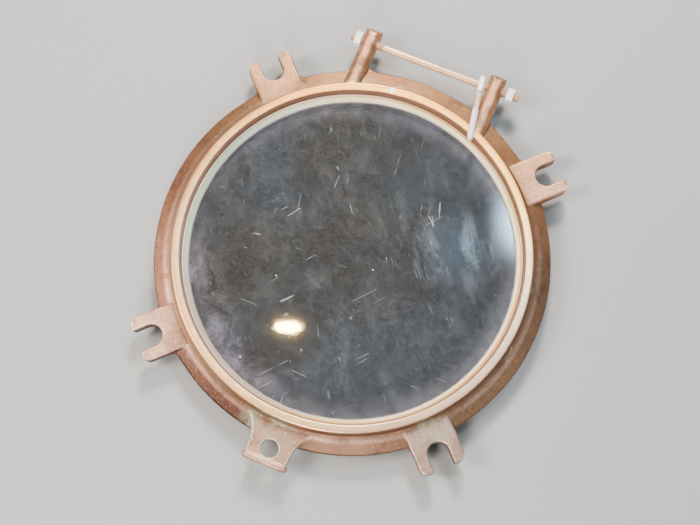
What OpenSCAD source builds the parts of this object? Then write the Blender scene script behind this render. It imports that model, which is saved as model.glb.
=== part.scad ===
// Opening light of a ship's porthole: a cast bronze ring with its glass, hinge rod and lugs.
// It lies on its back face. The ring's axis is Z, the hinge is towards +Y, sizes are millimetres.

/* [Ring casting] */
// Clear opening through the ring, which the whole ring follows
sight_d = 305; // [250:1:360]
// Width of the rim's flat top
rim_w = 7; // [6:0.1:8]
// Step from the glass bore out to the rim's inner edge
rim_step = 1.6; // [1.4:0.1:3]
// Height of the rim's inner wall over the glass bore
rim_rise = 7; // [6:0.1:9]
// Height of the rim's outer wall over the flange
rim_wall_h = 7.8; // [7:0.1:9]
// How far the rim's outer wall leans out from top to foot
rim_wall_draft = 2.1; // [1:0.1:3]
// Radius of the cove between flange and rim
rim_cove_r = 3; // [2.5:0.5:3]
// Radius of the rim's outer top edge
rim_edge_r = 1.2; // [0.5:0.1:2]
// Width of the flange from the rim's top edge to its own edge
flange_w = 18.7; // [16:0.1:22]
// Fall of the sloping flange from the rim to its edge
flange_fall = 6.7; // [5:0.1:8]
// Height of the upright band round the flange
flange_band_h = 5; // [3:0.1:8]
// Radius of the flange's upper edge
flange_edge_r = 2.4; // [1:0.1:3]
// How far the outer wall draws in from the band to the back face
back_inset = 3.3; // [2:0.1:5]
// Thickness of the ledge under the glass
ledge_t = 6; // [4:0.1:8]

/* [Glazing] */
// Width of the glass that lies on the ledge
glass_cover = 6; // [5:0.1:7]
// Thickness of the glass
glass_t = 10; // [8:0.1:12]
// Thickness of the channel gasket under the glass
bedding_t = 1.5; // [1:0.1:2]
// Thickness of the channel gasket at the edge of the glass and over it
bedding_lip_t = 0.8; // [0.6:0.1:1.2]
// Width of the channel gasket that shows inside the retaining ring
bedding_show = 1; // [0.5:0.1:1.5]
// Height of the retaining ring
retainer_h = 8; // [6:0.1:9]
// Depth of the retaining ring's top below the end of the glass bore
retainer_drop = 0.7; // [0.3:0.1:1.5]
// Width of the retaining ring's flat top
retainer_top_w = 1.4; // [1:0.1:2]
// Width of the retaining ring's bevel in plan
retainer_bevel_w = 3.4; // [2:0.1:3.6]
// Clearance round the glass, the gasket and the retaining ring
glazing_gap = 0.1; // [0.05:0.01:0.3]

/* [Back seal] */
// Distance of the seal groove from the clear opening
groove_inset = 13.5; // [11:0.1:15]
// Width of the seal groove
groove_w = 12; // [8:0.1:14]
// Depth of the seal groove
groove_depth = 8; // [6:0.1:10]
// How far the seal lies below the back face
seal_recess = 1; // [0.5:0.1:2]
// Clearance on each side of the seal
seal_gap = 0.3; // [0.1:0.05:0.5]

/* [Forked lugs] */
// Width of a fork
fork_w = 44; // [40:0.1:48]
// Width of its slot
fork_slot_w = 20; // [16:0.1:22]
// How far the prongs reach past the flange
fork_reach = 28.2; // [25:0.1:32]
// Distance of the slot's round bottom past the flange
fork_slot_start = 3.5; // [2:0.1:6]
// Thickness of a fork
fork_t = 12; // [9:0.1:13]
// Drop from the rim's flat top to a fork's flat top
fork_drop = 8.7; // [8:0.1:11]
// Share of a prong's width that its outer corner rounds off
fork_corner_share = 0.66; // [0.4:0.01:0.75]
// Share of a prong's width that its inner corner rounds off
fork_mouth_share = 0.18; // [0.1:0.01:0.22]
// Radius along the edges of a fork
fork_edge_r = 2; // [1:0.1:3]
// Chamfer round the slot
fork_chamfer = 1.2; // [0.5:0.1:2]
// Radius where a lug or an arm grows out of the flange
root_fillet_r = 6; // [3:0.1:8]

/* [Lock lug] */
// Diameter of the hole in the lock lug
lock_hole_d = 17; // [14:0.1:18]
// Distance of the hole's centre past the flange
lock_hole_reach = 8.7; // [7:0.1:11]
// Width of the lug at its waist
lock_waist_w = 38.8; // [36:0.1:42]
// Width of the lug at its root in the rim
lock_root_w = 62; // [54:0.1:70]
// Radius of the hollowed sides
lock_side_r = 49; // [40:0.1:60]
// Distance of the waist past the flange
lock_waist_reach = 13.7; // [11:0.1:16]
// Distance of the end bead past the flange
lock_bead_reach = 20.7; // [20:0.1:23]
// How far the bead stands out past the waist on each side
lock_bead_over = 2.4; // [1:0.1:4]
// Diameter of the end bead
lock_bead_d = 7; // [5:0.1:8]
// How far the bead stands above the lug
lock_bead_rise = 2; // [1:0.1:3]
// Thickness of the lock lug
lock_t = 8; // [6:0.1:10]
// Drop from the rim's flat top to the lock lug's flat top
lock_drop = 9; // [8:0.1:11]

/* [Hinge arms] */
// Distance of the hinge axis past the flange
hinge_reach = 17.9; // [16:0.1:20]
// Drop from the rim's flat top to the hinge axis
hinge_drop = 10; // [9:0.1:12]
// Clear distance between the two arms
arm_gap = 114.2; // [106:0.1:122]
// Width of an arm
arm_w = 16.4; // [14:0.1:18]
// Depth of an arm below the hinge axis
arm_depth = 10; // [8:0.1:11]
// Height of an arm's top above the hinge axis
arm_cover = 7; // [6.5:0.1:8]
// Length of an arm past the hinge axis
arm_nose = 14; // [12:0.1:16]
// Radius of the arm's nose
arm_nose_r = 7; // [4:0.1:8]
// Radius of the arm's upper shoulders
arm_shoulder_r = 6.5; // [5:0.1:7]
// Radius of the arm's lower edges
arm_lower_r = 3; // [1:0.1:4]

/* [Hinge rod] */
// Diameter of the plain rod
rod_d = 7; // [6:0.1:7.4]
// Height of the rolled thread over the plain rod
rod_thread_rise = 0.45; // [0.3:0.05:0.6]
// Length of thread past the inner face of the left arm
rod_thread_in = 6; // [3:0.1:10]
// Clearance round the thread in the arms
rod_fit = 0.08; // [0.04:0.01:0.1]
// Width of a nut across its flats
nut_af = 12.7; // [12:0.1:14]
// Thickness of a nut
nut_t = 6.75; // [5:0.05:8]
// Gap between the left nut and its arm
left_nut_gap = 0.2; // [0.1:0.05:0.4]
// Gap between the right nut and its arm
right_nut_gap = 4.4; // [2:0.1:6]
// Rod end that shows past the left nut
left_stub = 3.9; // [2:0.1:6]
// Rod end that shows past the right nut
right_stub = 5.6; // [3:0.1:8]
// Clearance of a nut on its thread
nut_fit = 0.05; // [0.02:0.01:0.1]

/* [Eye bolt] */
// Play of the eye on the rod, across the hole
eye_play = 3.8; // [3:0.1:5]
// Diameter of the wire that the eye is bent from
eye_wire_d = 5.6; // [5:0.1:5.8]
// Length from the centre of the eye to the start of the thread
bolt_neck_l = 28; // [22:0.1:32]
// Length of the thread
bolt_thread_l = 40; // [30:0.1:48]
// Diameter of the plain neck
bolt_neck_d = 5.5; // [4.5:0.05:5.6]
// Height of the bolt's thread over its neck
bolt_thread_rise = 0.425; // [0.3:0.025:0.5]
// Skew of the bolt off the square to the rod, degrees
bolt_skew = 9.2; // [6:0.1:10]
// Gap where the bolt lies on the rod and on the rim
bolt_rest_gap = 0.3; // [0.2:0.05:0.4]

/* [Rim plug] */
// Diameter of the plug in the rim
plug_d = 5.2; // [4:0.1:5.6]
// Length of the plug
plug_l = 6; // [4:0.1:6.5]
// How far the plug stands above the rim
plug_rise = 0.3; // [0.1:0.1:0.6]
// Place of the plug round the rim, degrees from +X
plug_angle = 99; // [90:1:110]
// Clearance round the plug
plug_fit = 0.05; // [0.02:0.01:0.1]

/* [Hidden] */
$fn = 96;
cut_over = 1;

// Heights, from the ledge up through the glazing to the rim
glass_z = ledge_t + bedding_t;
bedding_top_z = glass_z + glass_t + bedding_lip_t;
retainer_top_z = bedding_top_z + retainer_h;
bore_top_z = retainer_top_z + retainer_drop;
ring_h = bore_top_z + rim_rise;
flange_root_z = ring_h - rim_wall_h;
flange_edge_z = flange_root_z - flange_fall;

// Radii, from the clear opening out to the flange
sight_r = sight_d / 2;
glass_r = sight_r + glass_cover;
bore_r = glass_r + bedding_lip_t + 2 * glazing_gap;
retainer_r = bore_r - glazing_gap;
retainer_foot_r = retainer_r - retainer_top_w - retainer_bevel_w;
rim_inner_r = bore_r + rim_step;
rim_r = rim_inner_r + rim_w;
flange_r = rim_r + flange_w;
back_r = flange_r - back_inset;
groove_r = sight_r + groove_inset;
// Lugs and arms start inside the metal of the rim
root_r = rim_r - rim_w / 2;

// Forks
fork_count = 4;
fork_step = 360 / fork_count;
fork_tip_r = flange_r + fork_reach;
fork_slot_r = flange_r + fork_slot_start + fork_slot_w / 2;
fork_top_z = ring_h - fork_drop;
fork_prong_w = (fork_w - fork_slot_w) / 2;

// Lock lug
lock_top_z = ring_h - lock_drop;

// Hinge
hinge_y = flange_r + hinge_reach;
hinge_z = ring_h - hinge_drop;
arm_in_x = arm_gap / 2;
arm_out_x = arm_in_x + arm_w;
arm_top_z = hinge_z + arm_cover;
rod_thread_d = rod_d + 2 * rod_thread_rise;
rod_bore_r = rod_thread_d / 2 + rod_fit;
left_nut_x = -arm_out_x - left_nut_gap - nut_t;
right_nut_x = arm_out_x + right_nut_gap;
rod_left_x = left_nut_x - left_stub;
rod_right_x = right_nut_x + nut_t + right_stub;
rod_thread_l = rod_thread_in + arm_w + left_nut_gap + nut_t + left_stub;

// Eye bolt: the eye hangs on the rod, and the shank lies on the outer edge of the rim
eye_ring_r = (rod_d + eye_play + eye_wire_d) / 2;
eye_slack = eye_play / 2 - bolt_rest_gap;
eye_slack_angle = 232;
eye_y = hinge_y + eye_slack * cos(eye_slack_angle);
eye_z = hinge_z + eye_slack * sin(eye_slack_angle);
// The shank clears the side of the arm all the way past the arm's nose
eye_x = arm_in_x - bolt_rest_gap - bolt_neck_d / 2 / cos(bolt_skew) - arm_nose * tan(bolt_skew);
bolt_thread_d = bolt_neck_d + 2 * bolt_thread_rise;
bolt_l = bolt_neck_l + bolt_thread_l;
// Length in plan from the eye to the crossing of the rim's edge, then the tilt that lays the shank on it
bolt_heading = [sin(bolt_skew), -cos(bolt_skew)];
eye_place = [eye_x, eye_y];
rim_touch_r = rim_r - rim_edge_r;
eye_ahead = eye_place * bolt_heading;
rim_touch_run = -eye_ahead - sqrt(eye_ahead * eye_ahead - eye_place * eye_place + rim_touch_r * rim_touch_r);
rim_touch_rise = ring_h - rim_edge_r - eye_z;
bolt_tilt = atan2(rim_touch_rise, rim_touch_run)
    + asin((bolt_thread_d / 2 + rim_edge_r + bolt_rest_gap) / norm([rim_touch_run, rim_touch_rise]));

bronze = [0.62, 0.42, 0.32];
pale_brass = [0.86, 0.82, 0.66];
steel = [0.8, 0.8, 0.78];

// Rounding of one corner c between its neighbours p and n
function unit(v) = v / norm(v);
function corner_half(p, c, n) = acos(unit(p - c) * unit(n - c)) / 2;
function corner_cut(p, c, n, r) = r / tan(corner_half(p, c, n));
function corner_centre(p, c, n, r) = c + unit(unit(p - c) + unit(n - c)) * r / sin(corner_half(p, c, n));
function turns_left(p, c, n) = cross(c - p, n - c) > 0;
function before(points, i) = points[(i + len(points) - 1) % len(points)];
function after(points, i) = points[(i + 1) % len(points)];

// The two points where the arc of corner i leaves its sides, or the corner itself
function corner_ends(points, radii, i) =
    let (p = before(points, i), c = points[i], n = after(points, i))
    radii[i] == 0 ? [c] : let (cut = corner_cut(p, c, n, radii[i]))
        [c + unit(p - c) * cut, c + unit(n - c) * cut];

// The sector of the arc at corner i, from its centre out to the two ends on the sides
module corner_sector(points, radii, i) {
    centre = corner_centre(before(points, i), points[i], after(points, i), radii[i]);
    ends = corner_ends(points, radii, i);
    intersection() {
        translate(centre) circle(r = radii[i]);
        polygon([centre, ends[0], points[i], ends[1]]);
    }
}

// Outline drawn anticlockwise, with an arc of its own radius at each corner
module rounded_outline(points, radii) {
    last = len(points) - 1;
    difference() {
        union() {
            polygon([for (i = [0:last]) each corner_ends(points, radii, i)]);
            for (i = [0:last])
                if (radii[i] > 0 && turns_left(before(points, i), points[i], after(points, i)))
                    corner_sector(points, radii, i);
        }
        for (i = [0:last])
            if (radii[i] > 0 && !turns_left(before(points, i), points[i], after(points, i)))
                corner_sector(points, radii, i);
    }
}

// A profile in Y and Z, carried along X from x0 over length l
module along_x(x0, l) {
    translate([x0, 0, 0]) rotate([90, 0, 90]) linear_extrude(l) children();
}

// A profile in X and Z, carried along Y from y0 over length l
module along_y(y0, l) {
    translate([0, y0 + l, 0]) rotate([90, 0, 0]) linear_extrude(l) children();
}

// Section of the ring in radius and height
module ring_section() {
    back_edge_r = 1;
    band_edge_r = 3;
    rim_inner_edge_r = 0.8;
    wall_lean = 0.5;
    step_cove_r = (rim_step - wall_lean) * 0.8;
    points = [
        [sight_r, 0],
        [back_r, 0],
        [flange_r, flange_edge_z - flange_band_h],
        [flange_r, flange_edge_z],
        [rim_r + rim_wall_draft, flange_root_z],
        [rim_r, ring_h],
        [rim_inner_r, ring_h],
        [rim_inner_r - wall_lean, bore_top_z],
        [bore_r, bore_top_z],
        [bore_r, ledge_t],
        [sight_r, ledge_t]
    ];
    radii = [0, back_edge_r, band_edge_r, flange_edge_r, rim_cove_r, rim_edge_r,
        rim_inner_edge_r, step_cove_r, 0, 0, back_edge_r];
    difference() {
        rounded_outline(points, radii);
        translate([groove_r, -cut_over]) square([groove_w, groove_depth + cut_over]);
    }
}

// Fillet in plan between the flange's edge and the side y = side of a lug that points along +X.
// It runs a little way into the metal of both.
module root_fillet(side, out) {
    bite = 0.1;
    z0 = flange_edge_z - flange_band_h;
    reach = flange_r + root_fillet_r - bite;
    centre_y = side + out * (root_fillet_r - bite);
    centre_x = sqrt(reach * reach - centre_y * centre_y);
    foot = [centre_x, centre_y] * (flange_r - 2 * bite) / reach;
    inner_x = foot[0] - root_fillet_r;
    inner_y = side - out * root_fillet_r / 2;
    translate([0, 0, z0]) linear_extrude(flange_band_h) difference() {
        polygon([[inner_x, inner_y], [centre_x, inner_y], [centre_x, centre_y], foot, [inner_x, foot[1]]]);
        translate([centre_x, centre_y]) circle(r = root_fillet_r);
    }
}

// Fork that points along +X: plan, end profile and side profile intersected
module fork() {
    half_w = fork_w / 2;
    half_slot = fork_slot_w / 2;
    bottom_z = fork_top_z - fork_t;
    plan = [[root_r, -half_w], [fork_tip_r, -half_w], [fork_tip_r, -half_slot], [fork_slot_r, -half_slot],
        [fork_slot_r, half_slot], [fork_tip_r, half_slot], [fork_tip_r, half_w], [root_r, half_w]];
    corner_r = fork_prong_w * fork_corner_share;
    mouth_r = fork_prong_w * fork_mouth_share;
    plan_radii = [0, corner_r, mouth_r, 0, 0, mouth_r, corner_r, 0];
    end_profile = [[-half_w, bottom_z], [half_w, bottom_z], [half_w, fork_top_z], [-half_w, fork_top_z]];
    side_profile = [[root_r, bottom_z], [fork_tip_r, bottom_z], [fork_tip_r, fork_top_z],
        [root_r, fork_top_z]];
    difference() {
        intersection() {
            translate([0, 0, bottom_z]) linear_extrude(fork_t) rounded_outline(plan, plan_radii);
            along_x(root_r, fork_tip_r - root_r) rounded_outline(end_profile, [for (i = [0:3]) fork_edge_r]);
            along_y(-half_w, fork_w) rounded_outline(side_profile, [0, fork_edge_r, fork_edge_r, 0]);
        }
        translate([fork_slot_r, 0, bottom_z - cut_over])
            cylinder(r = half_slot, h = fork_t + 2 * cut_over);
        translate([fork_slot_r, 0, fork_top_z - fork_chamfer])
            cylinder(r1 = half_slot, r2 = half_slot + fork_chamfer, h = fork_chamfer);
        along_x(fork_slot_r, fork_reach) polygon([
            [-half_slot, fork_top_z - fork_chamfer], [half_slot, fork_top_z - fork_chamfer],
            [half_slot + fork_chamfer, fork_top_z], [-half_slot - fork_chamfer, fork_top_z]]);
    }
    for (out = [-1, 1]) root_fillet(out * half_w, out);
}

// Lock lug that points along +X: hollowed sides, one hole and a round bead along its end
module lock_lug() {
    half_root = lock_root_w / 2;
    waist_r = flange_r + lock_waist_reach;
    bead_r = flange_r + lock_bead_reach;
    bead_z = lock_top_z + lock_bead_rise - lock_bead_d / 2;
    bead_half = lock_waist_w / 2 + lock_bead_over - lock_bead_d / 2;
    translate([0, 0, lock_top_z - lock_t]) linear_extrude(lock_t) difference() {
        translate([root_r, -half_root]) square([bead_r - root_r, 2 * half_root]);
        for (out = [-1, 1])
            translate([waist_r, out * (lock_waist_w / 2 + lock_side_r)]) circle(r = lock_side_r);
    }
    translate([bead_r, bead_half, bead_z]) rotate([90, 0, 0])
        cylinder(d = lock_bead_d, h = 2 * bead_half);
    for (out = [-1, 1]) translate([bead_r, out * bead_half, bead_z]) sphere(d = lock_bead_d);
}

// Right hinge arm: side profile along the arm and its rounded cross-section intersected
module hinge_arm() {
    end_y = hinge_y + arm_nose;
    bottom_z = hinge_z - arm_depth;
    start_y = root_r - arm_out_x;
    side_profile = [[start_y, bottom_z], [end_y, bottom_z], [end_y, arm_top_z], [start_y, arm_top_z]];
    cross_profile = [[arm_in_x, bottom_z], [arm_out_x, bottom_z], [arm_out_x, arm_top_z],
        [arm_in_x, arm_top_z]];
    difference() {
        intersection() {
            along_x(arm_in_x, arm_w) rounded_outline(side_profile, [0, arm_nose_r, arm_nose_r, 0]);
            along_y(start_y, end_y - start_y) rounded_outline(cross_profile,
                [arm_lower_r, arm_lower_r, arm_shoulder_r, arm_shoulder_r]);
        }
        cylinder(r = root_r, h = ring_h);
    }
    rotate(90) {
        root_fillet(-arm_in_x, 1);
        root_fillet(-arm_out_x, -1);
    }
}

module frame() {
    color(bronze) difference() {
        union() {
            rotate_extrude() ring_section();
            for (i = [0:fork_count - 1]) rotate(fork_step * (i + 0.5)) fork();
            rotate(-90) lock_lug();
            hinge_arm();
            mirror([1, 0, 0]) hinge_arm();
        }
        rotate(-90) translate([flange_r + lock_hole_reach, 0, lock_top_z - lock_t - cut_over])
            cylinder(d = lock_hole_d, h = lock_t + 2 * cut_over);
        translate([-arm_out_x - cut_over, hinge_y, hinge_z]) rotate([0, 90, 0])
            cylinder(r = rod_bore_r, h = 2 * (arm_out_x + cut_over));
        rotate(plug_angle) translate([root_r, 0, ring_h - plug_l])
            cylinder(d = plug_d + 2 * plug_fit, h = plug_l + cut_over);
    }
}

module glass() {
    color([0.35, 0.36, 0.38]) translate([0, 0, glass_z]) cylinder(r = glass_r, h = glass_t);
}

// Channel gasket: a leg under the glass, one round its edge and a lip over it
module glass_bedding() {
    outer_r = bore_r - glazing_gap;
    lip_r = retainer_foot_r - bedding_show;
    color([0.55, 0.55, 0.5]) rotate_extrude() {
        translate([sight_r, ledge_t]) square([outer_r - sight_r, bedding_t]);
        translate([outer_r - bedding_lip_t, ledge_t]) square([bedding_lip_t, bedding_top_z - ledge_t]);
        translate([lip_r, glass_z + glass_t]) square([outer_r - lip_r, bedding_lip_t]);
    }
}

module retaining_ring() {
    points = [[retainer_foot_r, bedding_top_z], [retainer_r, bedding_top_z],
        [retainer_r, retainer_top_z], [retainer_r - retainer_top_w, retainer_top_z]];
    color(pale_brass) rotate_extrude() rounded_outline(points, [0, 0, 0.3, 0.7]);
}

module rim_plug() {
    top_r = 0.5;
    points = [[0, 0], [plug_d / 2, 0], [plug_d / 2, plug_l + plug_rise], [0, plug_l + plug_rise]];
    color(steel) rotate(plug_angle) translate([root_r, 0, ring_h - plug_l])
        rotate_extrude() rounded_outline(points, [0, 0, top_r, 0]);
}

module seal_gasket() {
    inner_r = groove_r + seal_gap;
    outer_r = groove_r + groove_w - seal_gap;
    face_r = 2;
    points = [[inner_r, seal_recess], [outer_r, seal_recess], [outer_r, groove_depth],
        [inner_r, groove_depth]];
    color([0.12, 0.12, 0.12]) rotate_extrude() rounded_outline(points, [face_r, face_r, 0, 0]);
}

// Rod through both arms, thicker over the rolled thread, with a chamfer at each end
module hinge_rod() {
    tip = 1;
    rod_r = rod_d / 2;
    thread_r = rod_thread_d / 2;
    points = [[0, 0], [thread_r - tip, 0], [thread_r, tip], [thread_r, rod_thread_l],
        [rod_r, rod_thread_l + thread_r - rod_r],
        [rod_r, rod_right_x - rod_left_x - rod_thread_l - thread_r + rod_r],
        [thread_r, rod_right_x - rod_left_x - rod_thread_l],
        [thread_r, rod_right_x - rod_left_x - tip], [thread_r - tip, rod_right_x - rod_left_x],
        [0, rod_right_x - rod_left_x]];
    color([0.76, 0.68, 0.58]) translate([rod_left_x, hinge_y, hinge_z]) rotate([0, 90, 0])
        rotate_extrude() polygon(points);
}

// Hexagon nut from x over its thickness, with its corners turned off at both faces
module hex_nut(x) {
    corner_r = nut_af / sqrt(3);
    chamfer = corner_r - nut_af / 2;
    translate([x, hinge_y, hinge_z]) rotate([0, 90, 0]) difference() {
        intersection() {
            cylinder(r = corner_r, h = nut_t, $fn = 6);
            rotate_extrude() polygon([[0, 0], [nut_af / 2, 0], [corner_r, chamfer * tan(30)],
                [corner_r, nut_t - chamfer * tan(30)], [nut_af / 2, nut_t], [0, nut_t]]);
        }
        translate([0, 0, -cut_over])
            cylinder(r = rod_thread_d / 2 + nut_fit, h = nut_t + 2 * cut_over);
    }
}

module left_nut() {
    color(steel) hex_nut(left_nut_x);
}

module right_nut() {
    color(steel) hex_nut(right_nut_x);
}

// Eye bolt bent from wire, its eye round the rod and its shank over the rim
module eyebolt() {
    tip = 1.2;
    neck_r = bolt_neck_d / 2;
    thread_r = bolt_thread_d / 2;
    shank = [[0, eye_ring_r], [neck_r, eye_ring_r], [neck_r, bolt_neck_l],
        [thread_r, bolt_neck_l + thread_r - neck_r], [thread_r, bolt_l - tip],
        [thread_r - tip, bolt_l], [0, bolt_l]];
    color(steel) translate([eye_x, eye_y, eye_z]) rotate([0, 0, bolt_skew]) rotate([-bolt_tilt, 0, 0]) {
        rotate([0, 90, 0]) rotate_extrude() translate([eye_ring_r, 0]) circle(d = eye_wire_d);
        rotate([90, 0, 0]) rotate_extrude() polygon(shank);
    }
}

frame();
glass();
glass_bedding();
retaining_ring();
rim_plug();
seal_gasket();
hinge_rod();
left_nut();
right_nut();
eyebolt();
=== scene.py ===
"""Looks of the porthole light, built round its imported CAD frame. Sizes are metres in the row frame."""
import math

import bpy
import numpy as np
from mathutils import Matrix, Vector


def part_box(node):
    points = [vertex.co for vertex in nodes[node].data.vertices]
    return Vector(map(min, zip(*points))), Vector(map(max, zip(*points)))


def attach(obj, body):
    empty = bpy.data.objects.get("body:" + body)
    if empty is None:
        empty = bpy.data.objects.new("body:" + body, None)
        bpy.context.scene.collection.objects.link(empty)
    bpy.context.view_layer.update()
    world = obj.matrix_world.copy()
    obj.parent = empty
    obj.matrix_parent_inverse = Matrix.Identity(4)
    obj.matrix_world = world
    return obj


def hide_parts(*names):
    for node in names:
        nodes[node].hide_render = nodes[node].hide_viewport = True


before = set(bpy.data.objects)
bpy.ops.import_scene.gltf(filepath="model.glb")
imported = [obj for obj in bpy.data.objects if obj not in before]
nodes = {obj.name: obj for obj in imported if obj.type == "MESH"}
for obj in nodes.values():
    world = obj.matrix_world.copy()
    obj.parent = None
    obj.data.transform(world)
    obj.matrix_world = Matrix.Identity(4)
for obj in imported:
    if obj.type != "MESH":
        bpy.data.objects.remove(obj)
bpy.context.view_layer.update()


# Ring casting. One bronze casting under a brown patina: flange, rim, forks, lock lug and hinge arms.
# It carries everything else. Its flat tops are rubbed pale, and the rim was machined bright.


class Flow:
    """One shader value: it wraps an output socket, and arithmetic on it adds Math nodes."""

    def __init__(self, tree, socket):
        self.tree = tree
        self.socket = socket

    def node(self, kind, settings, values, out=0):
        """Add a node of that kind, set its settings, then fill or link the inputs named in values."""
        made = self.tree.nodes.new("ShaderNode" + kind)
        for name, value in settings.items():
            setattr(made, name, value)
        for key, value in values.items():
            if isinstance(value, Flow):
                self.tree.links.new(value.socket, made.inputs[key])
            else:
                made.inputs[key].default_value = value
        return Flow(self.tree, made.outputs[out])

    def math(self, operation, a, b=0.0):
        return self.node("Math", {"operation": operation}, {0: a, 1: b})

    def __add__(self, other):
        return self.math("ADD", self, other)

    def __radd__(self, other):
        return self.math("ADD", other, self)

    def __sub__(self, other):
        return self.math("SUBTRACT", self, other)

    def __rsub__(self, other):
        return self.math("SUBTRACT", other, self)

    def __mul__(self, other):
        return self.math("MULTIPLY", self, other)

    def __rmul__(self, other):
        return self.math("MULTIPLY", other, self)

    def __truediv__(self, other):
        return self.math("DIVIDE", self, other)

    def __rtruediv__(self, other):
        return self.math("DIVIDE", other, self)

    def step(self, low, high):
        """0 below low, 1 above high, a smooth rise between them; low above high turns it round."""
        kind = {"interpolation_type": "SMOOTHSTEP"}
        if low < high:
            return self.node("MapRange", kind, {0: self, 1: low, 2: high})
        return 1.0 - self.node("MapRange", kind, {0: self, 1: high, 2: low})

    def mix(self, first, second):
        """The first colour where this value is 0, the second where it is 1."""
        return self.node("Mix", {"data_type": "RGBA"}, {0: self, 6: first, 7: second}, out=2)

    def noise(self, scale, detail=4.0, rough=0.55, warp=0.0):
        """Fractal noise of this place, scale in waves per metre."""
        return self.node("TexNoise", {}, {"Vector": self, "Scale": scale, "Detail": detail,
                                          "Roughness": rough, "Distortion": warp})

    def axis(self, number):
        """One coordinate of this place: 0 along the hinge rod, 1 towards the rod, 2 up."""
        return self.node("SeparateXYZ", {}, {0: self}, out=number)

    def off(self, point):
        """Distance of this place from a point."""
        return self.node("VectorMath", {"operation": "DISTANCE"}, {0: self, 1: point}, out=1)


def new_material(name):
    """A fresh material, its Principled node, and the place on the piece as a Flow."""
    made = bpy.data.materials.new(name)
    made.use_nodes = True
    tree = made.node_tree
    shader = tree.nodes["Principled BSDF"]
    place = Flow(tree, tree.nodes.new("ShaderNodeTexCoord").outputs["Object"])
    return made, shader, place


def link(shader, **inputs):
    """Set or link inputs of a shader node, named with underscores for spaces."""
    for name, value in inputs.items():
        socket = shader.inputs[name.replace("_", " ")]
        if isinstance(value, Flow):
            value.tree.links.new(value.socket, socket)
        else:
            socket.default_value = value


def rgb(red, green, blue):
    """Linear colour of an sRGB triple from 0 to 255."""
    parts = [c / 255 for c in (red, green, blue)]
    return tuple(c / 12.92 if c <= 0.04045 else ((c + 0.055) / 1.055) ** 2.4 for c in parts) + (1.0,)


def radius_height(place):
    """Distance from the ring's axis and height over the back face, in millimetres."""
    flat = place.node("VectorMath", {"operation": "MULTIPLY"}, {0: place, 1: (1000.0, 1000.0, 0.0)})
    radius = flat.node("VectorMath", {"operation": "LENGTH"}, {0: flat}, out=1)
    height = place.axis(2) * 1000.0
    return radius, height


def dress(name, material):
    """Give a node of the CAD model this one material."""
    slots = nodes[name].data.materials
    slots.clear()
    slots.append(material)


bronze, shader, place = new_material("bronze_patina")
radius, height = radius_height(place)
across = place.axis(0)
along = place.axis(1)
rim_inside, rim_height = 161.6, 34.0
cloud = place.noise(13.0, 4.0, 0.6, 0.4)
hue = place.noise(9.0, 3.0, 0.5)
blotch = place.noise(42.0, 7.0, 0.7, 0.6)
mottle = place.noise(110.0, 6.0, 0.65, 0.3)
grain = place.noise(480.0, 4.0, 0.65)
fine = place.noise(1700.0, 3.0, 0.6)
# Patina: brown clouds, golden by the hinge, with spots; painted shade darkens it on the right and more on the near
# side.
patina_and_shade = cloud.step(0.35, 0.65).mix(rgb(118, 74, 54), rgb(138, 93, 67))
patina_and_shade = (hue.step(0.45, 0.62) * 0.5).mix(patina_and_shade, rgb(106, 80, 52))
hinge_side = along.step(0.03, 0.17) * (0.5 + 0.5 * cloud.step(0.35, 0.6))
patina_and_shade = (hinge_side * 0.5).mix(patina_and_shade, rgb(172, 126, 76))
# Painted shade on the right: the flange darker there, the lug tops and the rim greyer.
right_shade_and_grey = (across - 0.55 * along).step(0.06, 0.17)
patina_and_shade = (right_shade_and_grey * 0.6).mix(patina_and_shade, rgb(88, 70, 54))
# Painted shade: the flange's near side darkened.
near_side_shade = along.step(-0.06, -0.16) * across.step(0.08, -0.02)
patina_and_shade = (near_side_shade * 0.92).mix(patina_and_shade, rgb(60, 31, 20))
patina_and_shade = (blotch.step(0.52, 0.64) * 0.6).mix(patina_and_shade, rgb(66, 42, 30))
patina_and_shade = (mottle.step(0.5, 0.68) * 0.45).mix(patina_and_shade, rgb(78, 50, 36))
patina_and_shade = (grain.step(0.54, 0.7) * 0.4).mix(patina_and_shade, rgb(168, 124, 92))
# Forms by radius and height in millimetres: rim top and wall, lug tops and the arms among them.
rim_top = height.step(rim_height - 1.0, rim_height - 0.2)
rim_wall = height.step(23.5, 29.0) * radius.step(rim_inside, rim_inside + 0.8) * radius.step(173.0, 170.0)
lug_top = height.step(22.8, 24.8) * radius.step(171.5, 178.0)
arm_top = lug_top * height.step(26.0, 28.0)
rubbed = lug_top * (0.5 + 0.5 * blotch.step(0.60, 0.44)) * (0.6 + 0.4 * grain.step(0.62, 0.42))
# Painted light on the rim's outer wall, more on the left; then rubbed metal on the lug tops, with grime at their
# roots.
painted_light_left = across.step(0.0, -0.10)
wall_painted_light = painted_light_left.mix(rgb(170, 126, 94), rgb(236, 184, 140))
colour = (rim_wall * (0.35 + 0.4 * painted_light_left)).mix(patina_and_shade, wall_painted_light)
rub_and_light_colour = along.step(0.05, 0.15).mix(rgb(204, 152, 124), rgb(172, 118, 86))
rub_and_light_colour = (right_shade_and_grey * 0.7).mix(rub_and_light_colour, rgb(190, 164, 156))
# Painted light: the lug tops on the far left made paler.
far_left_painted_light = across.step(-0.06, -0.17) * along.step(0.05, -0.03)
rub_and_light_colour = far_left_painted_light.mix(rub_and_light_colour, rgb(250, 196, 172))
colour = (rubbed * (0.9 - 0.45 * arm_top)).mix(colour, rub_and_light_colour)
grime = lug_top * radius.step(186.0, 173.0) * (0.25 + 0.4 * mottle.step(0.42, 0.6))
colour = grime.mix(colour, rgb(112, 76, 54))
colour = (arm_top * blotch.step(0.48, 0.58) * 0.7).mix(colour, rgb(104, 72, 48))
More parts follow.
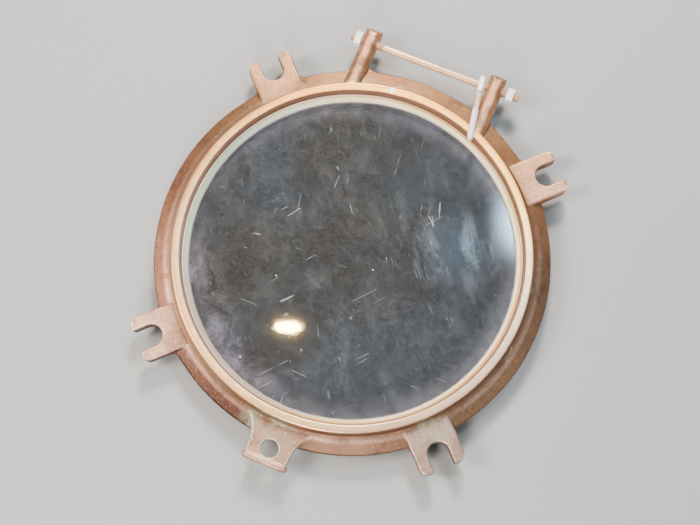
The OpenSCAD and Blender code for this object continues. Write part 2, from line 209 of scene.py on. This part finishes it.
# Machined rim: fine turning lines, a brighter inner lip and a greyer right side.
rings = radius * 2.4 + 1.5 * mottle
turned = rings.math("SINE", rings)
bright = rim_top * (0.78 + 0.07 * turned + 0.15 * blotch.step(0.66, 0.44))
rim_colour = along.step(-0.06, 0.14).mix(rgb(240, 178, 122), rgb(222, 148, 60))
lip = radius.step(166.0, 164.2) * (0.55 + 0.45 * mottle.step(0.62, 0.42))
rim_colour = lip.mix(rim_colour, along.step(-0.06, 0.14).mix(rgb(255, 218, 166), rgb(250, 178, 88)))
rim_colour = (right_shade_and_grey * 0.6).mix(rim_colour, rgb(214, 182, 166))
colour = bright.mix(colour, rim_colour)
# Verdigris at the roots of the lugs, most by the lock lug and the near right fork.
crust = place.noise(36.0, 6.0, 0.75, 0.8).step(0.57, 0.68)
root = radius.step(166.0, 171.0) * radius.step(182.0, 172.0)
by_lock = place.off((-0.010, -0.178, 0.022))
by_fork = place.off((0.133, -0.124, 0.022))
wet = by_lock.step(0.034, 0.008) + by_fork.step(0.022, 0.004)
green = crust * (0.7 * root + 0.3 * lug_top) + 0.55 * wet * mottle.step(0.40, 0.56)
colour = green.math("MINIMUM", green, 0.85).mix(colour, rgb(146, 152, 126))
# Worn edges, painted pale as wear and as a painted highlight, where the rounded normal leaves the true one, and
# scattered scuffs.
soft = place.node("Bevel", {"samples": 8}, {"Radius": 0.0010})
wide = place.node("Bevel", {"samples": 8}, {"Radius": 0.0024})
facing = place.node("NewGeometry", {}, {}, out=1)
flatness = place.node("VectorMath", {"operation": "DOT_PRODUCT"}, {0: wide, 1: facing}, out=1)
edge_wear_and_highlight = flatness.step(0.985, 0.88) * (0.3 + 0.7 * mottle.step(0.36, 0.58)) * height.step(21.5, 23.5)
colour = (edge_wear_and_highlight * 0.8).mix(colour, rgb(255, 232, 204))
scuff = place.noise(300.0, 3.0, 0.5, 0.6).step(0.64, 0.72) * (0.12 + 0.6 * lug_top - 0.6 * arm_top)
colour = (scuff * 0.5).mix(colour, rgb(250, 232, 212))
# Inside wall of the rim, painted lighter towards the near side and darker on the far side, with painted shade where
# it meets the retaining ring; the back edge is darker low down.
inner = radius.step(rim_inside, rim_inside - 0.8) * height.step(rim_height - 0.6, rim_height - 2.2)
# Painted light and shade on the inside wall: lighter towards the near side, darker on the far side.
inner_wall_light_and_shade = along.step(-0.06, 0.12).mix(rgb(206, 164, 146), rgb(142, 98, 76))
colour = (inner * 0.85).mix(colour, inner_wall_light_and_shade)
# Painted shade in the crevice where the wall meets the retaining ring.
crevice_shade = inner * height.step(27.7, 26.9)
colour = (crevice_shade * 0.9).mix(colour, rgb(44, 27, 18))
under = height.step(15.0, 11.0)
colour = (under * 0.7).mix(colour, rgb(70, 44, 31))
rough = 0.36 + 0.26 * (grain - 0.5) * (1.0 - rim_top) + 0.12 * blotch.step(0.5, 0.65) - 0.06 * rubbed
metal = 0.76 + 0.04 * rim_top + 0.1 * edge_wear_and_highlight - 0.3 * green - 0.4 * inner - 0.2 * arm_top
relief = (0.25 * mottle + 0.45 * grain + 0.3 * fine) * (1.0 - 0.95 * rim_top)
bump = place.node("Bump", {}, {"Strength": 0.45, "Distance": 0.0013, "Height": relief, "Normal": soft})
link(shader, Base_Color=colour, Roughness=rough, Metallic=metal, Normal=bump)
dress("frame", bronze)


# Back seal. A black rubber ring glued into the groove of the back face.
# Only its rounded face shows, from behind.
rubber, shader, place = new_material("seal_rubber")
dust = place.noise(60.0, 5.0, 0.6).step(0.45, 0.75)
link(shader, Base_Color=(dust * 0.5).mix(rgb(26, 26, 26), rgb(70, 68, 64)), Roughness=0.72 + 0.15 * dust)
dress("seal_gasket", rubber)


# Glass gasket. A grey channel folded round the edge of the glass, squeezed between ledge and retaining ring.
# Its narrow lip shows as a soft grey line inside the ring.
bedding, shader, place = new_material("glass_bedding")
stain = place.noise(90.0, 5.0, 0.65).step(0.4, 0.7)
link(shader, Base_Color=stain.mix(rgb(128, 112, 106), rgb(84, 72, 68)), Roughness=0.7 + 0.1 * stain)
dress("glass_bedding", bedding)


# Glass. A thick pane, worn grey and smudged, laid in its gasket.
# It is smoky clear glass under a film of dust, with wiped streaks, specks and scratches.
glass, shader, place = new_material("worn_glass")
radius = radius_height(place)[0]
link(shader, Base_Color=(0.11, 0.114, 0.12, 1.0), Roughness=0.034, IOR=1.5, Transmission_Weight=1.0)
across = place.axis(0)
along = place.axis(1)
# Film of dust: clouds, grain and wiped streaks, thicker at the edge and in a lilac smear, with a streaky pale blue
# patch that is a painted reflection of the window's glow.
film = place.noise(8.0, 5.0, 0.6, 0.5)
smear = place.noise(30.0, 8.0, 0.72, 0.3)
fleecy = place.noise(140.0, 8.0, 0.75)
speckle = place.noise(520.0, 4.0, 0.7)
streaked = {"Vector": place, "Rotation": (0.0, 0.0, 0.6), "Scale": (1.0, 3.0, 1.0)}
wiped = place.node("Mapping", {"vector_type": "TEXTURE"}, streaked).noise(60.0, 6.0, 0.7, 0.4)
edge = radius.step(126.0, 156.0)
haze_and_glow = 0.006 + 0.040 * film + 0.024 * smear.step(0.40, 0.74) + 0.024 * fleecy.step(0.42, 0.72)
haze_and_glow = haze_and_glow + 0.045 * speckle.step(0.46, 0.70) + 0.025 * wiped.step(0.48, 0.7)
clear_side = across.step(-0.10, -0.14) * along.step(-0.08, -0.02)
# Painted reflection: a streaky pale blue patch where the window's glow is mirrored.
glow_reflection_at = (0.090, 0.044, 0.0)
painted_glow_reflection = place.off(glow_reflection_at).step(0.055, 0.010)
haze_and_glow = haze_and_glow + 0.17 * painted_glow_reflection * (0.25 + 0.75 * wiped.step(0.44, 0.60))
lilac_side = across.step(0.0, -0.06) * along.step(-0.035, -0.075)
lilac = radius.step(118.0, 146.0) * lilac_side * smear.step(0.42, 0.62)
haze_and_glow = haze_and_glow + 0.075 * lilac * (0.5 + fleecy)
edge_dust = 0.036 + 0.05 * smear.step(0.3, 0.75) + 0.04 * fleecy.step(0.35, 0.7)
haze_and_glow = haze_and_glow + edge * edge * (1.0 - 0.7 * clear_side) * edge_dust
# Specks: a dot in some cells of a Voronoi pattern.
cells = {"Vector": place, "Scale": 85.0}
apart = place.node("TexVoronoi", {}, cells)
chance = place.node("TexVoronoi", {}, cells, out=1).axis(0)
speck_size = chance.step(0.6, 1.0) * 0.036 + chance.step(0.95, 1.0) * 0.04
specks = (speck_size - apart).step(0.0, 0.018) * chance.step(0.6, 0.66)
# Scratches: level lines of stretched noise in five directions, cut short by a second noise.
# Each row is angle, shift of the pattern, waves, waves of the cut, and how much denser in the worn place.
worn = place.off((0.068, 0.034, 0.0175)).step(0.045, 0.01)
scratch = None
for angle, shift, wave, cut_wave, denser in ((0.72, 0.31, 130.0, 66.0, 0.13), (0.60, 0.87, 110.0, 58.0, 0.11),
                                             (0.15, 0.53, 60.0, 32.0, 0.02), (1.55, 0.19, 66.0, 36.0, 0.0),
                                             (2.45, 0.71, 58.0, 30.0, 0.0)):
    stretched = {"Vector": place, "Location": (shift, shift, 0.0), "Rotation": (0.0, 0.0, angle),
                 "Scale": (1.0, 22.0, 1.0)}
    lined = place.node("Mapping", {"vector_type": "TEXTURE"}, stretched)
    line = lined.noise(wave, 1.0, 0.4) - 0.5
    thin = line.math("ABSOLUTE", line).step(0.0065, 0.0012)
    cut_place = place.node("Mapping", {}, {"Vector": place, "Location": (shift, 2.0 * shift, 0.0)})
    cut = cut_place.noise(cut_wave, 2.0, 0.5) + denser * worn
    layer = thin * cut.step(0.61, 0.69)
    scratch = layer if scratch is None else scratch.math("MAXIMUM", scratch, layer)
# The film's colour, then the film laid over the clear glass.
film_and_glow_colour = film.step(0.35, 0.65).mix(rgb(198, 190, 180), rgb(184, 192, 202))
film_and_glow_colour = (across.step(-0.03, 0.11) * 0.5).mix(film_and_glow_colour, rgb(172, 190, 212))
# Pale blue of the painted glow reflection.
film_and_glow_colour = (painted_glow_reflection * 0.7).mix(film_and_glow_colour, rgb(150, 184, 216))
film_and_glow_colour = (edge * 0.55).mix(film_and_glow_colour, rgb(202, 198, 218))
film_and_glow_colour = (lilac * 0.8).mix(film_and_glow_colour, rgb(206, 194, 222))
film_and_glow_colour = specks.mix(film_and_glow_colour, rgb(236, 234, 228))
film_and_glow_colour = (scratch * 0.8).mix(film_and_glow_colour, rgb(226, 232, 238))
cover = haze_and_glow.math("MAXIMUM", haze_and_glow, specks * 0.75)
cover = cover.math("MAXIMUM", cover, scratch * 0.25)
dusty = glass.node_tree.nodes.new("ShaderNodeBsdfPrincipled")
link(dusty, Base_Color=film_and_glow_colour, Roughness=0.38, IOR=1.5)
blend = place.node("MixShader", {}, {0: cover.math("MINIMUM", cover, 0.92),
                                     1: Flow(glass.node_tree, shader.outputs[0]),
                                     2: Flow(glass.node_tree, dusty.outputs[0])})
glass.node_tree.links.new(blend.socket, glass.node_tree.nodes["Material Output"].inputs[0])
dress("glass", glass)


# Retaining ring. A pale bevelled ring of tarnished brass, dropped on the gasket inside the rim.
# Its bevel is chalky cream, greenish on the left and shaded near it. Its narrow top is golden on the right.
pale, shader, place = new_material("retaining_ring")
height = radius_height(place)[1]
cloud = place.noise(9.0, 4.0, 0.6)
stain = place.noise(70.0, 6.0, 0.65, 0.4)
across = place.axis(0)
along = place.axis(1)
colour = cloud.step(0.38, 0.62).mix(rgb(255, 246, 206), rgb(255, 236, 180))
colour = (across.step(-0.07, -0.15) * 0.85).mix(colour, rgb(190, 228, 210))
shaded = along.step(-0.04, -0.13) * across.step(0.07, -0.04)
colour = (shaded * 0.8).mix(colour, rgb(156, 140, 132))
colour = (height.step(20.6, 19.0) * 0.55).mix(colour, rgb(196, 186, 196))
colour = (stain.step(0.52, 0.8) * 0.45).mix(colour, rgb(204, 178, 136))
top_colour = across.step(0.02, -0.10).mix(rgb(206, 128, 34), rgb(226, 186, 160))
colour = (height.step(23.6, 25.4) * (0.6 + 0.4 * cloud)).mix(colour, top_colour)
link(shader, Base_Color=colour, Roughness=0.3 + 0.25 * stain, Metallic=0.3 * height.step(24.0, 25.6))
dress("retaining_ring", pale)


# Rim plug. A round plug of bright zinc plated steel, driven into a hole in the rim's flat top.
# It is filed almost flush, so it reads as a white dot on the bronze.
steel, shader, place = new_material("zinc_steel")
cloud = place.noise(120.0, 5.0, 0.6)
fleck = place.noise(900.0, 4.0, 0.6)
colour = cloud.step(0.4, 0.7).mix(rgb(255, 255, 253), rgb(244, 242, 238))
colour = (fleck.step(0.6, 0.75) * 0.45).mix(colour, rgb(150, 134, 116))
bump = place.node("Bump", {}, {"Strength": 0.15, "Distance": 0.0004, "Height": fleck})
link(shader, Base_Color=colour, Roughness=0.2 + 0.2 * cloud, Metallic=0.35, Normal=bump)
dress("rim_plug", steel)


# Hinge rod. A plain steel rod with a rolled thread at each end, put through both arms.
# The thread stands a little over the plain rod, and both tips are chamfered.


def thread_radius(along, turn, low, high, pitch, root, crest):
    """Radius of a 60 degree thread: a triangle wave in (along / pitch - turn), flattened at root and crest,
    that fades to the root within one pitch of the ends low and high."""
    steepness, root_flat = 1.35, 0.15
    wave = np.abs(((along / pitch - turn / (2 * np.pi)) % 1.0) * 2.0 - 1.0)
    tooth = np.clip(wave * steepness - root_flat, 0.0, 1.0)
    fade = np.clip((along - low) / pitch, 0.0, 1.0) * np.clip((high - along) / pitch, 0.0, 1.0)
    return root + (crest - root) * tooth * fade


def grid_piece(name, points, depth):
    """A smooth mesh of a grid of points (rows, columns, 3) whose columns close on themselves, with a flat
    face at each end. Each point's depth under the thread's crest, 0 to 1, is kept as the attribute hollow."""
    rows, columns = points.shape[:2]
    index = np.arange(rows * columns).reshape(rows, columns)
    near = index[:-1]
    far = index[1:]
    quads = np.stack([near, np.roll(near, -1, 1), np.roll(far, -1, 1), far], -1).reshape(-1, 4)
    ends = [index[0, ::-1].tolist(), index[-1].tolist()]
    mesh = bpy.data.meshes.new(name)
    mesh.from_pydata(points.reshape(-1, 3), [], quads.tolist() + ends)
    mesh.polygons.foreach_set("use_smooth", np.arange(len(quads) + 2) < len(quads))
    hollow = mesh.attributes.new("hollow", "FLOAT", "POINT")
    hollow.data.foreach_set("value", depth.astype(np.float32).reshape(-1))
    mesh.update()
    piece = bpy.data.objects.new(name, mesh)
    bpy.context.scene.collection.objects.link(piece)
    return piece


def rod_surface(left, right, centre_y, centre_z):
    """Rod along X: at each station and turn the radius is the plain rod's, the thread's, or the tip chamfer's."""
    thread, pitch = 0.0334, 0.00141
    plain, root, crest, tip = 0.0035, 0.00335, 0.00395, 0.0029
    ends = np.arange(0.0, thread, pitch / 10)
    stations = np.concatenate([left + ends, np.linspace(left + thread, right - thread, 40), right - ends[::-1]])
    turn = np.linspace(0.0, 2 * np.pi, 48, endpoint=False)
    along, angle = np.meshgrid(stations, turn, indexing="ij")
    on_left = along < left + thread
    on_right = along > right - thread
    left_thread = thread_radius(along, angle, left - pitch, left + thread, pitch, root, crest)
    right_thread = thread_radius(along, angle, right - thread, right + pitch, pitch, root, crest)
    radius = np.where(on_left, left_thread, np.where(on_right, right_thread, plain))
    radius = np.minimum(radius, tip + np.minimum(along - left, right - along))
    points = np.stack([along, centre_y + radius * np.cos(angle), centre_z + radius * np.sin(angle)], -1)
    depth = np.where(on_left | on_right, (crest - radius) / (crest - root), 0.0)
    return points, np.clip(depth, 0.0, 1.0)


low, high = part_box("hinge_rod")
hinge_y = (low[1] + high[1]) / 2
hinge_z = (low[2] + high[2]) / 2
rod = grid_piece("rod_with_threads", *rod_surface(low[0], high[0], hinge_y, hinge_z))
worn_steel, shader, place = new_material("rod_steel")
cloud = place.noise(60.0, 5.0, 0.6)
fleck = place.noise(700.0, 4.0, 0.65)
across = place.axis(0)
bare_tip = high[0] - 0.00675
golden = across.step(bare_tip, bare_tip + 0.003)
colour = cloud.step(0.35, 0.7).mix(rgb(226, 178, 136), rgb(196, 150, 112))
colour = (fleck.step(0.58, 0.75) * 0.5).mix(colour, rgb(110, 84, 64))
colour = (golden * 0.7).mix(colour, rgb(214, 178, 118))
hollow = place.node("Attribute", {"attribute_name": "hollow"}, {}, out=2)
# Painted shade in the thread's roots, darker the deeper the surface lies under the crest.
colour = (hollow * 0.7).mix(colour, rgb(92, 70, 52))
link(shader, Base_Color=colour, Roughness=0.28 + 0.2 * fleck, Metallic=0.4)
rod.data.materials.append(worn_steel)
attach(rod, "rod")
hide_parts("hinge_rod")


# Nuts. Two zinc plated hexagon nuts, run up on the rod's threads outside the arms.
# The left one sits against its arm, the right one stands off on the longer end.
for name in ("left_nut", "right_nut"):
    dress(name, steel)


# Eye bolt. Bent from steel wire: a loop round the rod, a plain neck and a threaded shank.
# It hangs loose on the rod beside the right arm, with its tip lying over the rim.


def bolt_path(stations, loop):
    """Centre line in the bolt's own plane, u out of the eye along the shank: a straight shank, a small bend away
    from it, then a loop of nearly a full turn that stops short of the neck. Gives the points and the length."""
    bend, tip, gap = 0.005, 0.068, 0.02
    start = math.asin(bend / (loop + bend))
    bend_u = math.sqrt(loop * loop + 2 * loop * bend)
    straight = tip - bend_u
    bend_turn = math.pi / 2 - start
    bend_length = bend * bend_turn
    s = stations
    in_bend = s < straight + bend_length
    phi = np.clip((s - straight) / bend, 0.0, bend_turn)
    theta = start + np.maximum(s - straight - bend_length, 0.0) / loop
    u = np.where(s < straight, tip - s, np.where(in_bend, bend_u - bend * np.sin(phi), loop * np.cos(theta)))
    v = np.where(s < straight, 0.0, np.where(in_bend, bend - bend * np.cos(phi), loop * np.sin(theta)))
    total = straight + bend_length + loop * (2 * math.pi - 2 * start - gap)
    return np.stack([u, v], -1), total


def bolt_surface(centre, skew, tilt, loop, wire):
    """A round section carried along the bolt's centre line. Its radius is the thread's over the shank, then the
    neck's and the eye's wire, and it falls to a slender tip at the start and a blunt one at the end."""
    pitch, thread, root, crest = 0.0016, 0.040, 0.00245, 0.003175
    neck, neck_end, neck_blend = 0.00275, 0.05, 0.01
    tip, tip_slope, end = 0.0014, 0.32, 0.0020
    total = bolt_path(np.zeros(1), loop)[1]
    stations = np.concatenate([np.arange(0.0, thread, pitch / 10), np.linspace(thread, total, 150)])
    line = bolt_path(stations, loop)[0]
    tangent = np.gradient(line, stations, axis=0)
    tangent /= np.linalg.norm(tangent, axis=1, keepdims=True)
    normal = np.stack([-tangent[:, 1], tangent[:, 0]], -1)
    turn = np.linspace(0.0, 2 * np.pi, 36, endpoint=False)
    along, angle = np.meshgrid(stations, turn, indexing="ij")
    threaded = thread_radius(along, angle, -pitch, thread, pitch, root, crest)
    plain = neck + (wire - neck) * np.clip((along - neck_end) / neck_blend, 0.0, 1.0)
    radius = np.where(along < thread, threaded, plain)
    radius = np.minimum(radius, np.minimum(tip + tip_slope * along, end + total - along))
    flat = line[:, None, :] + normal[:, None, :] * (radius * np.cos(angle))[..., None]
    side = radius * np.sin(angle)
    across = np.array([math.cos(skew), math.sin(skew), 0.0])
    level = np.array([math.sin(skew), -math.cos(skew), 0.0])
    out = level * math.cos(tilt) + np.array([0.0, 0.0, math.sin(tilt)])
    up = np.cross(across, -out)
    depth = np.where(along < thread, (crest - radius) / (crest - root), 0.0)
    points = np.array(centre) + flat[..., :1] * out - flat[..., 1:] * up + side[..., None] * across
    return points, np.clip(depth, 0.0, 1.0)


low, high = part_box("eyebolt")
skew = math.radians(9.2)
tilt = math.radians(17.17)
loop, wire = 0.0082, 0.0028
slack, slack_angle = 0.0016, math.radians(232)
eye_centre = (low[0] + wire + loop * math.sin(skew), hinge_y + slack * math.cos(slack_angle),
              hinge_z + slack * math.sin(slack_angle))
bolt = grid_piece("bent_eye_bolt", *bolt_surface(eye_centre, skew, tilt, loop, wire))
bolt_steel, shader, place = new_material("bolt_steel")
cloud = place.noise(130.0, 5.0, 0.6)
along = place.axis(1)
neck_low, neck_high = 0.1755, 0.196
neck = along.step(neck_low, neck_low + 0.003) * along.step(neck_high, neck_high - 0.004)
hollow = place.node("Attribute", {"attribute_name": "hollow"}, {}, out=2)
colour = cloud.step(0.4, 0.7).mix(rgb(255, 255, 253), rgb(240, 236, 230))
# Painted reflection: the neck tinted tan, as the bronze beside it mirrored in the zinc.
colour = (neck * 0.85).mix(colour, rgb(176, 132, 92))
# Painted shade in the thread's roots.
colour = (hollow * 0.5).mix(colour, rgb(96, 86, 80))
link(shader, Base_Color=colour, Roughness=0.2 + 0.2 * cloud, Metallic=0.1)
bolt.data.materials.append(bolt_steel)
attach(bolt, "eyebolt")
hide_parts("eyebolt")


# Floor. A pale even studio floor under the part.
# Matt paper, hardly uneven in tone, on which the part lies on its back face.
half = 6.0
floor = bpy.data.objects.new("floor", bpy.data.meshes.new("floor"))
floor.data.from_pydata([(-half, -half, 0), (half, -half, 0), (half, half, 0), (-half, half, 0)], [], [(0, 1, 2, 3)])
bpy.context.scene.collection.objects.link(floor)
paper, shader, place = new_material("studio_paper")
link(shader, Base_Color=place.noise(3.0, 3.0, 0.5).mix(rgb(142, 141, 140), rgb(147, 146, 145)), Roughness=0.85)
floor.data.materials.append(paper)


# Light. A warm soft key beyond the hinge, a broad fill on the left, a near light and a weak cool one on the right.
# The glass mirrors two more: a small warm lamp, and a card that glows blue from its middle like a window.


def add_light(name, place_at, aim_at, width, depth, power, colour, along=(1.0, 0.0, 0.0)):
    """An elliptical area light at a place, turned to face a point, with its width lying towards along."""
    data = bpy.data.lights.new(name, "AREA")
    data.shape = "ELLIPSE"
    data.size, data.size_y = width, depth
    data.energy = power
    data.color = colour
    back = np.array(place_at) - np.array(aim_at)
    back = back / np.linalg.norm(back)
    up = np.cross(back, along)
    up = up / np.linalg.norm(up)
    lamp = bpy.data.objects.new(name, data)
    lamp.rotation_euler = Matrix(np.stack([np.cross(up, back), up, back], 1).tolist()).to_euler()
    lamp.location = place_at
    bpy.context.scene.collection.objects.link(lamp)


middle = (0.0, 0.0, 0.02)
add_light("key", (-0.35, 1.20, 1.20), middle, 0.42, 0.42, 66.0, (1.0, 0.94, 0.86))
add_light("fill", (-1.02, -0.58, 1.20), middle, 0.65, 0.65, 42.0, (1.0, 0.97, 0.93))
add_light("near", (0.20, -1.15, 0.80), middle, 0.45, 0.45, 24.0, (1.0, 0.96, 0.90))
add_light("side", (1.3, -0.2, 1.0), middle, 0.9, 0.9, 6.0, (0.92, 0.96, 1.0))
add_light("lamp", (-0.153, 0.071, 0.997), (-0.029, -0.086, 0.0175), 0.046, 0.019, 1.7,
          (1.0, 0.68, 0.24), along=(0.925, 0.379, 0.0))


def window_surface(centre, aim, width):
    """A flat square card round a centre, square to the line from the centre to a point aimed at."""
    away = np.array(aim) - np.array(centre)
    away /= np.linalg.norm(away)
    side = np.cross(away, (0.0, 1.0, 0.0))
    side /= np.linalg.norm(side)
    corners = np.array([(-1, -1), (1, -1), (1, 1), (-1, 1)]) / 2
    return np.array(centre) + width * (corners[:, :1] * side + corners[:, 1:] * np.cross(side, away))


window_at, seen_at, window_width = (0.196, 0.421, 0.972), (0.153, 0.100, 0.0175), 0.44
window = bpy.data.objects.new("window", bpy.data.meshes.new("window"))
window.data.from_pydata(window_surface(window_at, seen_at, window_width), [], [(0, 1, 2, 3)])
bpy.context.scene.collection.objects.link(window)
sky, shader, place = new_material("window_sky")
glow = place.off(window_at).step(0.12, 0.0)
black, sky_blue = (0.0, 0.0, 0.0, 1.0), (0.52, 0.77, 1.0, 1.0)
link(shader, Base_Color=black, Roughness=1.0, Emission_Strength=240.0,
     Emission_Color=(glow * glow).mix(black, sky_blue))
window.data.materials.append(sky)
world = bpy.data.worlds.new("studio")
world.use_nodes = True
link(world.node_tree.nodes["Background"], Color=(0.80, 0.82, 0.85, 1.0), Strength=0.33)
bpy.context.scene.world = world


# Camera. High over the side away from the hinge, as in the photo.
# Lens and shift are fitted to the ring's outline in a frame 700 wide.
frame_width, distance, aim_height = 700, 1.1, 0.0175
data = bpy.data.cameras.new("camera")
data.lens = 60.05
data.sensor_width = 36.0
data.shift_x = -2.3 / frame_width
data.shift_y = -6.9 / frame_width
camera = bpy.data.objects.new("camera", data)
azimuth, elevation = math.radians(22.3), math.radians(75.4)
away = distance * math.cos(elevation)
camera.location = (away * math.sin(azimuth), -away * math.cos(azimuth), aim_height + distance * math.sin(elevation))
camera.rotation_euler = (math.pi / 2 - elevation, 0.0, azimuth)
bpy.context.scene.collection.objects.link(camera)
bpy.context.scene.camera = camera
